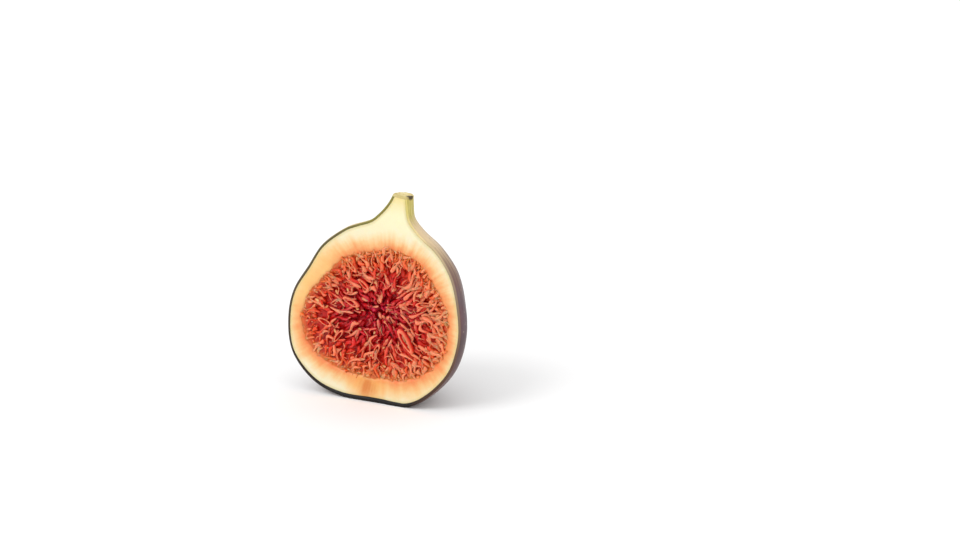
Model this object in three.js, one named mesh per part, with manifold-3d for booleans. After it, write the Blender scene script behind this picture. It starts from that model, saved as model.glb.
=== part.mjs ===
// Half of a ripe fresh fig, cut lengthwise with one stroke of a knife through stalk, neck and eye.
// Millimetres, +Z up. The half stands on its pressed-flat base, on the plane z = 0, and the origin is
// in the middle of that flat spot. Its cut face looks along -Y and leans back a little.
// Two bodies show on the cut face. The rind is the stalk, the neck and the pale flesh with its dark
// skin. The pulp is a dense head of small drop-shaped florets, which grow from the flesh all round
// and point inwards to a hub.

import * as THREE from 'three';
import { ParametricGeometry } from 'three/addons/geometries/ParametricGeometry.js';
import { mergeVertices } from 'three/addons/utils/BufferGeometryUtils.js';
import Module from 'manifold-3d';

const wasm = await Module();
wasm.setup();

// ---- Driving dimensions --------------------------------------------------------------------

const LEAN_BACK = THREE.MathUtils.degToRad(6); // of the cut face, from upright
const REST_CENTRE = { x: 1.2, y: 8.0 }; // middle of the resting spot, from the foot of the cut face
const GAP = 0.3; // clearance between the rind and the pulp

// Each station is one ring round the fruit, from the base up to the stalk. Its left and right points
// [x, height] lie in the cut plane, depth is how far the ring reaches behind that plane, and setBack
// is how far behind the plane the ring's own centre lies.
const FRUIT_STATIONS = [
  { left: [2.0, 0.2], right: [2.0, 0.2], depth: 3.0, setBack: 3.0 },
  { left: [-9.6, 0.5], right: [11.8, 0.3], depth: 13.4, setBack: 0.8 },
  { left: [-18.3, 3.6], right: [18.0, 4.0], depth: 18.4, setBack: 0.6 },
  { left: [-25.2, 11.0], right: [24.6, 11.9], depth: 20.6, setBack: 0.6 },
  { left: [-26.9, 20.2], right: [27.2, 22.0], depth: 21.2, setBack: 0.6 },
  { left: [-25.6, 28.6], right: [26.4, 30.6], depth: 20.2, setBack: 0.6 },
  { left: [-21.2, 36.2], right: [24.0, 39.0], depth: 17.0, setBack: 0.8 },
  { left: [-16.8, 43.1], right: [19.3, 45.4], depth: 13.2, setBack: 1.0 },
  { left: [-9.4, 48.8], right: [13.2, 50.0], depth: 10.0, setBack: 1.4 },
  { left: [-1.4, 52.2], right: [10.0, 53.4], depth: 7.8, setBack: 1.8 },
  { left: [2.5, 55.9], right: [9.3, 57.2], depth: 6.6, setBack: 2.0 },
  { left: [4.9, 60.0], right: [9.2, 60.6], depth: 5.9, setBack: 2.0 },
  { left: [6.0, 64.8], right: [9.2, 64.8], depth: 5.6, setBack: 2.0 },
  { left: [7.4, 66.8], right: [7.4, 66.8], depth: 2.0, setBack: 2.0 },
];
const STALK_CUT = { at: [7.0, 0.0, 59.6], facing: [0.1, 0.04, 1.0] };

// The pocket that the pulp fills, in the same terms.
const POCKET_STATIONS = [
  { left: [1.0, 6.2], right: [1.0, 6.2], depth: 1.0, setBack: 1.0 },
  { left: [-10.0, 7.6], right: [11.4, 7.2], depth: 9.4, setBack: 0.8 },
  { left: [-18.8, 12.1], right: [20.0, 12.1], depth: 14.4, setBack: 0.6 },
  { left: [-22.6, 20.1], right: [23.8, 20.5], depth: 16.4, setBack: 0.6 },
  { left: [-21.0, 28.7], right: [23.2, 29.2], depth: 15.4, setBack: 0.6 },
  { left: [-15.4, 35.8], right: [18.8, 36.4], depth: 12.2, setBack: 0.6 },
  { left: [-8.8, 42.4], right: [13.0, 43.1], depth: 7.8, setBack: 0.8 },
  { left: [4.6, 46.4], right: [4.6, 46.4], depth: 1.0, setBack: 1.0 },
];

// A ring's centre is never set back further than this share of its reach, so that each ring that
// meets the cut plane crosses it cleanly.
const MOST_OFF_CENTRE = 0.9;

// Broad swellings run lengthwise round the skin, unevenly spaced. Their height is a share of the
// distance from the middle of the fruit. They fade out at the cut, where turns are 0 and pi.
const LOBES = { count: 11, height: 0.018, drift: 1.6 };

const MESH = { fruitSides: 56, fruitRings: 40, pocketSides: 32, pocketRings: 18 };

// The pulp's florets lie on the front of its core in rings round the hub, heads inwards.
const HUB = { x: 3.2, height: 26.9 };
const CORE = { behindCut: 0.5, dishRadius: 27, dishDepth: 1.8, dishSides: 12 };
const FLORET = {
  sides: 4,
  length: 5.0,
  width: 2.5,
  pastHub: 2, // the most that a head reaches beyond the hub
  rows: 7,
  spacing: 2.5, // between neighbours of a row, at their feet
  widestStep: 1.2, // between neighbours near the hub, in radians
  inside: 0.8, // of the outermost feet from the pocket's edge
  sunk: 0.3, // of the feet below the core's front
  rise: 0.32, // the most that a head stands up from the core, in radians
  sway: 0.4, // the most that it turns from its radius, in radians
};
// Its profile from foot to head: radius as a share of the width, and how far along its length.
const FLORET_PROFILE = [[0, 0], [0.38, 0.42], [0.48, 0.8], [0, 1]];
const VARIATION = { spacing: 0.2, length: 0.2, width: 0.15, row: 0.05, rise: 0.3 };
const SEED = 7;

const RIND_COLOUR = 0x4a3344;
const PULP_COLOUR = 0xb8402f;

// ---- Ringed surfaces -----------------------------------------------------------------------

// The left points, right points and depths of the stations, as smooth curves from base to top.
function curvesThrough(stations) {
  const curve = (pick) => new THREE.CatmullRomCurve3(stations.map(pick));
  return {
    left: curve((s) => new THREE.Vector3(s.left[0], 0, s.left[1])),
    right: curve((s) => new THREE.Vector3(s.right[0], 0, s.right[1])),
    behind: curve((s) => new THREE.Vector3(s.depth - s.setBack, s.setBack, 0)),
  };
}

// A closed surface of rings: each is an ellipse that crosses the cut plane in its two points.
function ringedSurface(curves, sides, rings, swellAt) {
  const point = (around, along, target) => {
    const turn = 2 * Math.PI * around;
    const left = curves.left.getPoint(along);
    const right = curves.right.getPoint(along);
    const { x: reach, y: setBack } = curves.behind.getPoint(along);
    const swell = swellAt(turn, along);
    const offCentre = Math.min(setBack / Math.max(reach, setBack), MOST_OFF_CENTRE);
    const halfWidth = right.clone().sub(left).multiplyScalar(0.5 / Math.sqrt(1 - offCentre ** 2));
    target.addVectors(left, right).multiplyScalar(0.5);
    target.addScaledVector(halfWidth, swell * Math.cos(turn));
    target.y = setBack + swell * reach * Math.sin(turn);
  };
  return welded(new ParametricGeometry(point, sides, rings));
}

// Positions alone, with shared vertices merged and the collapsed triangles of the poles dropped.
function welded(geometry) {
  geometry.deleteAttribute('normal');
  geometry.deleteAttribute('uv');
  const merged = mergeVertices(geometry, 1e-3);
  const kept = [];
  for (let i = 0; i < merged.index.count; i += 3) {
    const [a, b, c] = merged.index.array.slice(i, i + 3);
    if (a !== b && b !== c && c !== a) kept.push(a, b, c);
  }
  merged.setIndex(kept);
  return merged;
}

// ---- Solids --------------------------------------------------------------------------------

function solidOf(geometry) {
  const vertProperties = new Float32Array(geometry.attributes.position.array);
  const triVerts = new Uint32Array(geometry.index.array);
  return new wasm.Manifold(new wasm.Mesh({ numProp: 3, vertProperties, triVerts }));
}

// A box that takes away all that lies on its side of a plane through the point. It is far larger
// than the fruit.
function cuttingBox(direction, point) {
  const size = 200;
  const box = new THREE.BoxGeometry(size, size, size);
  const towards = new THREE.Quaternion().setFromUnitVectors(
    new THREE.Vector3(0, 0, 1),
    direction.clone().normalize(),
  );
  box.translate(0, 0, size / 2).applyQuaternion(towards).translate(point.x, point.y, point.z);
  return solidOf(welded(box));
}

function inFrontOf(y) {
  return cuttingBox(new THREE.Vector3(0, -1, 0), new THREE.Vector3(0, y, 0));
}

function meshOf(name, geometry, colour, roughness) {
  geometry.computeVertexNormals();
  const material = new THREE.MeshStandardMaterial({ color: colour, roughness, metalness: 0 });
  const mesh = new THREE.Mesh(geometry, material);
  mesh.name = name;
  return mesh;
}

// ---- Rind ----------------------------------------------------------------------------------

function skinSwell(turn, along) {
  const lobes = Math.sin(LOBES.count * turn + LOBES.drift * Math.sin(2 * turn));
  return 1 + LOBES.height * Math.sin(Math.PI * along) * lobes;
}

const pocketCurves = curvesThrough(POCKET_STATIONS);
const pocket = ringedSurface(pocketCurves, MESH.pocketSides, MESH.pocketRings, () => 1);

function makeRind() {
  const whole = ringedSurface(
    curvesThrough(FRUIT_STATIONS),
    MESH.fruitSides,
    MESH.fruitRings,
    skinSwell,
  );
  const below = new THREE.Vector3(0, Math.sin(LEAN_BACK), -Math.cos(LEAN_BACK));
  const above = new THREE.Vector3(...STALK_CUT.facing);
  return solidOf(whole)
    .subtract(inFrontOf(0))
    .subtract(cuttingBox(below, new THREE.Vector3(0, 0, 0)))
    .subtract(cuttingBox(above, new THREE.Vector3(...STALK_CUT.at)))
    .subtract(solidOf(pocket));
}

// ---- Pulp ----------------------------------------------------------------------------------

// Repeatable random numbers from 0 to 1.
function randomFrom(seed) {
  let state = seed;
  return () => {
    state = (state * 1664525 + 1013904223) % 4294967296;
    return state / 4294967296;
  };
}

// How far the edge of the pocket is from the hub, in a direction of the cut plane.
function edgeDistances() {
  const edge = [];
  for (let along = 0; along <= 1; along += 0.005) {
    for (const side of [pocketCurves.left, pocketCurves.right]) {
      const { x, z } = side.getPoint(along);
      const [across, up] = [x - HUB.x, z - HUB.height];
      edge.push({ angle: Math.atan2(up, across), distance: Math.hypot(across, up) });
    }
  }
  const closeness = (angle) => (point) => Math.cos(point.angle - angle);
  return (angle) => {
    const close = closeness(angle);
    return edge.reduce((best, point) => (close(point) > close(best) ? point : best)).distance;
  };
}

// The surface moved inwards along its normals.
function inset(surface, distance) {
  const moved = surface.clone();
  moved.computeVertexNormals();
  const { position, normal } = moved.attributes;
  const at = new THREE.Vector3();
  const out = new THREE.Vector3();
  for (let i = 0; i < position.count; i += 1) {
    at.fromBufferAttribute(position, i);
    out.fromBufferAttribute(normal, i);
    at.addScaledVector(out, -distance);
    position.setXYZ(i, at.x, at.y, at.z);
  }
  return moved;
}

// The dish that the core's front sinks into towards the hub.
function makeDish() {
  const bowl = new THREE.SphereGeometry(1, CORE.dishSides, CORE.dishSides);
  bowl.scale(CORE.dishRadius, CORE.dishDepth, CORE.dishRadius);
  return solidOf(welded(bowl.translate(HUB.x, CORE.behindCut, HUB.height)));
}

// One floret: a drop with its foot at the origin, its head towards +Y and one of its edges up +Z.
function makeFloret(length, width) {
  const points = FLORET_PROFILE.map(([radius, along]) => new THREE.Vector2(radius * width, along * length));
  return new THREE.LatheGeometry(points, FLORET.sides);
}

// The florets, row by row from the edge of the pulp to its hub.
function makeFlorets() {
  const random = randomFrom(SEED);
  const vary = (share) => 1 + share * (2 * random() - 1);
  const edgeDistance = edgeDistances();
  const florets = [];
  for (let row = 0; row < FLORET.rows; row += 1) {
    const share = 1 - row / FLORET.rows;
    let angle = random();
    for (const end = angle + 2 * Math.PI; angle < end; ) {
      const edge = edgeDistance(angle) - FLORET.inside;
      const distance = edge * (share - VARIATION.row * random());
      const step = (FLORET.spacing * vary(VARIATION.spacing)) / distance;
      angle += Math.min(step, FLORET.widestStep);
      const length = Math.min(FLORET.length, distance + FLORET.pastHub) * vary(VARIATION.length);
      const floret = makeFloret(length, FLORET.width * vary(VARIATION.width));
      const heading = angle + Math.PI + FLORET.sway * (2 * random() - 1);
      const rise = FLORET.rise * (1 - VARIATION.rise) * vary(VARIATION.rise);
      const towards = new THREE.Vector3(Math.cos(heading), -Math.tan(rise), Math.sin(heading));
      towards.normalize();
      const sideways = new THREE.Vector3(-Math.sin(heading), 0, Math.cos(heading));
      const outwards = new THREE.Vector3().crossVectors(sideways, towards);
      floret.applyMatrix4(new THREE.Matrix4().makeBasis(sideways, towards, outwards));
      const dished = CORE.dishDepth * Math.sqrt(1 - (distance / CORE.dishRadius) ** 2);
      floret.translate(
        HUB.x + distance * Math.cos(angle),
        CORE.behindCut + dished + FLORET.sunk,
        HUB.height + distance * Math.sin(angle),
      );
      florets.push(floret);
    }
  }
  return florets;
}

function makePulp() {
  const core = solidOf(inset(pocket, GAP)).subtract(inFrontOf(CORE.behindCut)).subtract(makeDish());
  return makeFlorets().reduce((head, floret) => head.add(solidOf(welded(floret))), core);
}

// The outer skin of a solid alone: hollows that fusing sealed are filled, and loose scraps dropped.
function outerShell(solid) {
  const { vertProperties, triVerts } = solid.getMesh();
  const geometry = new THREE.BufferGeometry();
  geometry.setAttribute('position', new THREE.BufferAttribute(vertProperties, 3));
  const shellOf = Array.from({ length: vertProperties.length / 3 }, (_, vertex) => vertex);
  const rootOf = (vertex) => {
    let root = vertex;
    while (shellOf[root] !== root) root = shellOf[root];
    shellOf[vertex] = root;
    return root;
  };
  for (let i = 0; i < triVerts.length; i += 3) {
    shellOf[rootOf(triVerts[i + 1])] = rootOf(triVerts[i]);
    shellOf[rootOf(triVerts[i + 2])] = rootOf(triVerts[i]);
  }
  const shells = new Map();
  for (let i = 0; i < triVerts.length; i += 3) {
    const root = rootOf(triVerts[i]);
    if (!shells.has(root)) shells.set(root, []);
    shells.get(root).push(...triVerts.slice(i, i + 3));
  }
  const largest = [...shells.values()].reduce((a, b) => (b.length > a.length ? b : a));
  geometry.setIndex(largest);
  return geometry;
}

// ---- The half fig --------------------------------------------------------------------------

const halfFig = new THREE.Group();
halfFig.add(meshOf('rind', outerShell(makeRind()), RIND_COLOUR, 0.55));
halfFig.add(meshOf('pulp', outerShell(makePulp()), PULP_COLOUR, 0.35));
halfFig.rotation.x = -LEAN_BACK;
halfFig.position.set(-REST_CENTRE.x, -REST_CENTRE.y, 0);

export default halfFig;
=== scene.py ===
# %% [markdown]
# # Half of a fresh fig
# A fig is a flower head turned outside in. Hundreds of tiny florets line the inside of a fleshy
# cup and point at its middle, and the cup closes round them, with a stalk at one end and a small
# eye at the other. One stroke of a knife through stalk and eye leaves a half that stands on its
# pressed-flat base, with its cut face leaning back a little.
#
# The CAD model holds the half as two bodies, the rind and the pulp. This script dresses them on the
# same measurements: the rind gets its skin, flesh and stalk end, and the pulp its bed and florets.

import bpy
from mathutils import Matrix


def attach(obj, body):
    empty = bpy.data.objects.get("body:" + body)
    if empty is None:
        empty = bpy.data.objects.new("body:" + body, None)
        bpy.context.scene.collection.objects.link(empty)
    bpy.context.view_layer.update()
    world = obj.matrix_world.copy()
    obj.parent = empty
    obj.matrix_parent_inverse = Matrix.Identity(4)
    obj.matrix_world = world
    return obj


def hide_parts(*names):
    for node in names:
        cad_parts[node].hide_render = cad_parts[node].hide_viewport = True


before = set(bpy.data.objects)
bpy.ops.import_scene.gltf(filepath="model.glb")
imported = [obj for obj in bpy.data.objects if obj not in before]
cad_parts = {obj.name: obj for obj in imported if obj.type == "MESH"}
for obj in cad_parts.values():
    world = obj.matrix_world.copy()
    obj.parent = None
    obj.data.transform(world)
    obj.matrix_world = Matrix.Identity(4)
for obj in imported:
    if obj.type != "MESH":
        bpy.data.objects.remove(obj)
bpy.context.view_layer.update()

# %% [markdown]
# ## One way to work: flat on the cut
# All of the fig's measurements are easiest to read on its cut face, as x across it, y behind it and
# z up it, in millimetres from the foot of the cut. Each piece is shaped there, and one matrix then
# leans it back and stands it in place, in metres. Its place ends up in its mesh, and its object
# stays at the origin, so that patterns in object coordinates agree with it.

# %% The matrix that stands a piece in place
import math
import random

import bmesh
import bpy
from mathutils import Matrix, Vector, noise
from mathutils.kdtree import KDTree

MM = 0.001
LEAN_BACK = math.radians(6)
REST_CENTRE = (1.2, 8.0)
STAND = (
    Matrix.Scale(MM, 4)
    @ Matrix.Translation((-REST_CENTRE[0], -REST_CENTRE[1], 0))
    @ Matrix.Rotation(-LEAN_BACK, 4, "X")
)


def floor_under(point, lift=0.0):
    """The height, up the cut, of the surface that the fig stands on, below a point."""
    return point.y * math.tan(LEAN_BACK) + lift


def finish_piece(bm, name, node, material):
    """Stands the shape in place as a named piece of the object."""
    bmesh.ops.transform(bm, matrix=STAND, verts=bm.verts)
    for face in bm.faces:
        face.smooth = True
    triangles = sum(len(face.verts) - 2 for face in bm.faces)
    mesh = bpy.data.meshes.new(name)
    bm.to_mesh(mesh)
    bm.free()
    mesh.materials.append(material)
    piece = bpy.data.objects.new(name, mesh)
    bpy.context.collection.objects.link(piece)
    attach(piece, "root")
    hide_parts(node)
    print(f"{name}: {triangles} triangles")


# %% [markdown]
# ## Measurements of the fruit
# Each station is one ring round the fruit. Its left and right points lie in the cut, depth is how
# far the ring reaches behind the cut, and set_back is how far behind it the ring's own centre lies.
# A smooth curve runs through the stations from base to stalk. The CAD model is built on the same
# stations, so a finer surface through them keeps its form.

# %% Stations of the fruit and of the pulp's pocket
FRUIT_STATIONS = [  # left x, left z, right x, right z, depth, set_back
    (2.0, 0.2, 2.0, 0.2, 3.0, 3.0),
    (-9.6, 0.5, 11.8, 0.3, 13.4, 0.8),
    (-18.3, 3.6, 18.0, 4.0, 18.4, 0.6),
    (-25.2, 11.0, 24.6, 11.9, 20.6, 0.6),
    (-26.9, 20.2, 27.2, 22.0, 21.2, 0.6),
    (-25.6, 28.6, 26.4, 30.6, 20.2, 0.6),
    (-21.2, 36.2, 24.0, 39.0, 17.0, 0.8),
    (-16.8, 43.1, 19.3, 45.4, 13.2, 1.0),
    (-9.4, 48.8, 13.2, 50.0, 10.0, 1.4),
    (-1.4, 52.2, 10.0, 53.4, 7.8, 1.8),
    (2.5, 55.9, 9.3, 57.2, 6.6, 2.0),
    (4.9, 60.0, 9.2, 60.6, 5.9, 2.0),
    (6.0, 64.8, 9.2, 64.8, 5.6, 2.0),
    (7.4, 66.8, 7.4, 66.8, 2.0, 2.0),
]
POCKET_STATIONS = [
    (1.0, 6.2, 1.0, 6.2, 1.0, 1.0),
    (-10.0, 7.6, 11.4, 7.2, 9.4, 0.8),
    (-18.8, 12.1, 20.0, 12.1, 14.4, 0.6),
    (-22.6, 20.1, 23.8, 20.5, 16.4, 0.6),
    (-21.0, 28.7, 23.2, 29.2, 15.4, 0.6),
    (-15.4, 35.8, 18.8, 36.4, 12.2, 0.6),
    (-8.8, 42.4, 13.0, 43.1, 7.8, 0.8),
    (4.6, 46.4, 4.6, 46.4, 1.0, 1.0),
]
STEPS = len(FRUIT_STATIONS) - 1  # from station to station
LOBES = {"count": 11, "height": 0.018, "drift": 1.6}  # height as a share of the radius


# %% A smooth curve through points
def curve_through(points):
    """A centripetal Catmull-Rom curve, from 0 at its first point to 1 at its last."""
    inner = [Vector(point) for point in points]
    run = [2 * inner[0] - inner[1], *inner, 2 * inner[-1] - inner[-2]]

    def at(share):
        place = share * (len(inner) - 1)
        first = min(int(place), len(inner) - 2)
        t = place - first
        a, b, c, d = run[first : first + 4]
        step = math.sqrt((c - b).length) or 1.0
        before = math.sqrt((b - a).length) or step
        after = math.sqrt((d - c).length) or step
        leave = ((b - a) / before - (c - a) / (before + step) + (c - b) / step) * step
        arrive = ((c - b) / step - (d - b) / (step + after) + (d - c) / after) * step
        bend = -3 * b + 3 * c - 2 * leave - arrive
        return b + leave * t + bend * t**2 + (2 * b - 2 * c + leave + arrive) * t**3

    return at


# %% The rings that the curves give
MOST_OFF_CENTRE = 0.9


def rings_through(stations):
    """Gives (middle, half width, reach, set_back) of the ring at a share of the way up."""
    left = curve_through([(s[0], 0, s[1]) for s in stations])
    right = curve_through([(s[2], 0, s[3]) for s in stations])
    back = curve_through([(s[4] - s[5], s[5], 0) for s in stations])

    def ring(share):
        low, high = left(share), right(share)
        reach, set_back, _ = back(share)
        off_centre = min(set_back / max(reach, set_back), MOST_OFF_CENTRE)
        half = (high - low) * 0.5 / math.sqrt(1 - off_centre**2)
        return (low + high) / 2, half, reach, set_back

    return ring


def skin_swell(turn, share):
    """Broad swellings run lengthwise round the skin and fade out at base and stalk."""
    lobes = math.sin(LOBES["count"] * turn + LOBES["drift"] * math.sin(2 * turn))
    return 1 + LOBES["height"] * math.sin(math.pi * share) * lobes


def on_ring(ring, share, turn):
    """The point of the fruit's surface at a turn round a ring: 0 is right and pi is left."""
    middle, half, reach, set_back = ring
    swell = skin_swell(turn, share)
    point = middle + half * swell * math.cos(turn)
    point.y = set_back + swell * reach * math.sin(turn)
    return point


fruit_ring = rings_through(FRUIT_STATIONS)
pocket_ring = rings_through(POCKET_STATIONS)
print("Half width, half way up:", round(fruit_ring(0.5)[1].length, 1), "mm")


# %% [markdown]
# ## A sheet round the back of the fruit
# Skin and flesh both need the fruit's outer surface behind the cut, with a clean edge that lies in
# the cut. A whole loft could be made and bisected, but slivers would be left along the edge. So each
# ring is drawn only from where it leaves the cut, round the back, to where it meets it again: a flat
# grid is wrapped onto the rings, column by column. Below the floor the soft fruit is pressed flat.

# %% Where each ring meets the cut
FOOT_ROWS = 5  # rings below the first one that reaches the cut
KNEE, NECK_END = 2.2 / STEPS, 12 / STEPS  # where the base turns up, and past the stalk's cut


def end_turn(ring, share, side):
    """The turn at which a ring crosses the cut, on its right (0) or its left (1)."""
    _, _, reach, set_back = ring
    turn = math.pi * side
    for _ in range(4):
        across = set_back / max(skin_swell(turn, share) * reach, 1e-6)
        lean = math.asin(min(1.0, across))
        turn = math.pi + lean if side else -lean
    return turn


def first_crossing():
    """The share of the way up at which the rings first reach the cut."""
    low, high = 0.0, 1 / STEPS
    for _ in range(40):
        share = (low + high) / 2
        _, _, reach, set_back = fruit_ring(share)
        low, high = (share, high) if reach < set_back else (low, share)
    return high


def fruit_levels(count):
    """Shares of the way up for the rings, closest where the outline turns fastest."""
    start, early = first_crossing(), count // 4
    late = count - early
    levels = [start * step / FOOT_ROWS for step in range(FOOT_ROWS)]
    levels += [start + (KNEE - start) * (step / early) ** 2 for step in range(early)]
    levels += [KNEE + (NECK_END - KNEE) * step / late for step in range(late + 1)]
    return levels


print("Rings leave the cut from", round(first_crossing(), 4))


# %% The way into the fruit
BASE_SHARE = 0.06  # below it the surface is the base
RIM_REACH = 1.5  # the way in from the rim is an average over this far to each side


def inward_ways(bm):
    """For each vertex, the way into the fruit. Along the cut edge it stays in the cut."""
    bm.normal_update()
    share_layer = bm.verts.layers.float["share"]
    ways = {}
    for vert in bm.verts:
        upwards = max(0.0, 1 - vert[share_layer] / BASE_SHARE)
        ways[vert] = (-vert.normal).lerp(Vector((0, 0, 1)), upwards)
    rim = [edge for edge in bm.edges if edge.is_boundary and all(abs(v.co.y) < 1e-4 for v in edge.verts)]
    pushes, near = [], KDTree(len(rim))
    for index, edge in enumerate(rim):
        start, end = (vert.co for vert in edge.verts)
        push = Vector((start.z - end.z, 0, end.x - start.x))
        pushes.append(-push if push.dot(ways[edge.verts[0]]) < 0 else push)
        near.insert((start + end) / 2, index)
    near.balance()
    for vert in {vert for edge in rim for vert in edge.verts}:
        nearby = near.find_range(vert.co, RIM_REACH)
        ways[vert] = sum((pushes[index] for _, index, _ in nearby), Vector())
    return {vert: way.normalized() for vert, way in ways.items()}


# %% The wrapped sheet
STALK_AT = Vector((7.0, 0.0, 59.6))  # the plane of the cut through the stalk
STALK_FACING = Vector((0.1, 0.04, 1.0)).normalized()
FRUIT_MIDDLE = Vector((0.0, 8.0, 25.0))
MERGE_WITHIN = 0.004  # joins the lowest ring, which is one point, and the seams of those above it
BASE_SMOOTHINGS = 30


def skin_relief(turn, share):
    """Fine wrinkles, lengthwise, with shallow dimples between them. They fade out at the base."""
    around = Vector((math.cos(turn), math.sin(turn), 0))
    lengthwise = noise.noise(around * 7 + Vector((0, 0, share * 2.5)))
    fine = noise.noise(around * 19 + Vector((5, 0, share * 6)))
    dimple = noise.noise(around * 9 + Vector((9, 3, share * 22)))
    return (0.13 * lengthwise + 0.06 * fine + 0.04 * dimple) * min(1.0, share / 0.1) ** 2


def fruit_sheet(columns, rows):
    """The fruit's surface behind the cut, open there and at the stalk, faces outwards."""
    levels = fruit_levels(rows)
    bm = bmesh.new()
    turn_layer = bm.verts.layers.float.new("turn")
    share_layer = bm.verts.layers.float.new("share")
    bmesh.ops.create_grid(bm, x_segments=columns, y_segments=len(levels) - 1, size=1)
    for vert in bm.verts:
        column = round((vert.co.x + 1) / 2 * columns)
        row = round((vert.co.y + 1) / 2 * (len(levels) - 1))
        share = levels[row]
        ring = fruit_ring(share)
        start, end = end_turn(ring, share, 0), end_turn(ring, share, 1)
        turn = start + (end - start) * column / columns
        vert.co = on_ring(ring, share, turn)
        if column in (0, columns) and row >= FOOT_ROWS - 1:
            vert.co.y = 0
        vert[turn_layer], vert[share_layer] = turn, share
    bmesh.ops.remove_doubles(bm, verts=bm.verts, dist=MERGE_WITHIN)
    base = [vert for vert in bm.verts if vert[share_layer] < BASE_SHARE and not vert.is_boundary]
    for _ in range(BASE_SMOOTHINGS):
        bmesh.ops.smooth_vert(bm, verts=base, factor=0.5, use_axis_x=True, use_axis_y=True, use_axis_z=True)
    bmesh.ops.recalc_face_normals(bm, faces=bm.faces)
    if sum(face.normal.dot(face.calc_center_median() - FRUIT_MIDDLE) for face in bm.faces) < 0:
        bmesh.ops.reverse_faces(bm, faces=bm.faces)
    for vert, inwards in inward_ways(bm).items():
        vert.co -= inwards * skin_relief(vert[turn_layer], vert[share_layer])
    bmesh.ops.bisect_plane(
        bm, geom=bm.verts[:] + bm.edges[:] + bm.faces[:], dist=1e-4,
        plane_co=STALK_AT, plane_no=STALK_FACING, clear_outer=True,
    )
    for vert in bm.verts:
        vert.co.z = max(vert.co.z, floor_under(vert.co))
    return bm


# %% [markdown]
# ## Small tools for finishes
# Each finish is a set of nodes. A class that adds a node and fills its inputs at once keeps the
# recipes readable. Colours are written as the eye sees them, in steps of 0 to 255, and turned into
# linear light once.

# %% Colours, and a recipe that adds nodes
def colour(red, green, blue):
    """A colour in 0 to 255 steps, as linear light."""
    shares = [step / 255 for step in (red, green, blue)]
    return (*(s / 12.92 if s <= 0.04045 else ((s + 0.055) / 1.055) ** 2.4 for s in shares), 1.0)


class Recipe:
    """Adds nodes to a tree. An input is a number, a colour or another node's output."""

    def __init__(self, tree):
        self.tree = tree
        self.where = None  # the places at which patterns and distances are read

    def add(self, kind, inputs=None, **settings):
        """Adds a node with its settings, then fills its inputs."""
        node = self.tree.nodes.new("ShaderNode" + kind)
        for key, value in settings.items():
            setattr(node, key, value)
        for key, value in (inputs or {}).items():
            if isinstance(value, bpy.types.NodeSocket):
                self.tree.links.new(value, node.inputs[key])
            else:
                node.inputs[key].default_value = value
        return node

    def plus(self, first, second):
        """Adds two values."""
        return self.add("Math", {0: first, 1: second}, operation="ADD").outputs[0]

    def times(self, first, second):
        """Multiplies two values."""
        return self.add("Math", {0: first, 1: second}, operation="MULTIPLY").outputs[0]

    def span(self, value, low, high, to_low=0.0, to_high=1.0):
        """Maps a value from one range to another, smoothly and no further than its ends."""
        inputs = {"Value": value, "From Min": low, "From Max": high, "To Min": to_low, "To Max": to_high}
        return self.add("MapRange", inputs, interpolation_type="SMOOTHSTEP").outputs["Result"]

    def clouds(self, scale, detail=3.0, roughness=0.5, where=None):
        """A soft, cloudy pattern, in values from 0 to 1."""
        inputs = {"Vector": where or self.where, "Scale": scale, "Detail": detail, "Roughness": roughness}
        return self.add("TexNoise", inputs).outputs["Fac"]

    def swing(self, cloud, size):
        """Clouds made to swing to either side of 0, so that they can push another value about."""
        return self.times(self.plus(cloud, -0.5), size)

    def distance(self, point):
        """How far each place is, in metres, from a point that is given on the cut."""
        inputs = {0: self.where, 1: STAND @ point}
        return self.add("VectorMath", inputs, operation="DISTANCE").outputs["Value"]

    def blend(self, factor, first, second):
        """Mixes two colours."""
        return self.add("Mix", {0: factor, 6: first, 7: second}, data_type="RGBA").outputs[2]

    def ramp(self, value, stops):
        """Colours along a value from 0 to 1."""
        node = self.add("ValToRGB", {"Fac": value})
        points = node.color_ramp.elements
        while len(points) < len(stops):
            points.new(1.0)
        for point, (place, tint) in zip(points, stops):
            point.position, point.color = place, colour(*tint)
        return node.outputs["Color"]


# %% [markdown]
# A recipe is used in two ways. A finish is a material: it has a ground colour, over which the other
# colours are laid one by one, as a painter glazes, and a fine relief. An effect that more than one
# finish needs is a node group, with inputs and an output of its own.

# %% A finish and an effect
class Finish(Recipe):
    """A material. Numbers that hold all over are set on its shader itself."""

    def __init__(self, name, **numbers):
        self.material = bpy.data.materials.new(name)
        self.material.use_nodes = True
        super().__init__(self.material.node_tree)
        self.shader = self.tree.nodes["Principled BSDF"]
        for key, value in numbers.items():
            self.shader.inputs[key.replace("_", " ")].default_value = value
        self.where = self.add("TexCoord").outputs["Object"]
        self.ground = None  # the colour so far

    def attribute(self, name, output="Fac"):
        """What the mesh itself holds under a name."""
        return self.add("Attribute", attribute_name=name).outputs[output]

    def group(self, effect, inputs, output):
        """Places a node group, with its own values."""
        return self.add("Group", inputs, node_tree=effect).outputs[output]

    def lay(self, tint, mask):
        """Lays a colour over the ground, as far as a mask from 0 to 1 lets it."""
        tint = colour(*tint) if isinstance(tint, tuple) else tint
        self.ground = self.blend(mask, self.ground, tint)

    def done(self, height, strength, depth):
        """Links the ground and a fine relief to the shader, and gives the material."""
        bump = self.add("Bump", {"Height": height, "Strength": strength, "Distance": depth})
        self.tree.links.new(self.ground, self.shader.inputs["Base Color"])
        self.tree.links.new(bump.outputs["Normal"], self.shader.inputs["Normal"])
        return self.material


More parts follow.
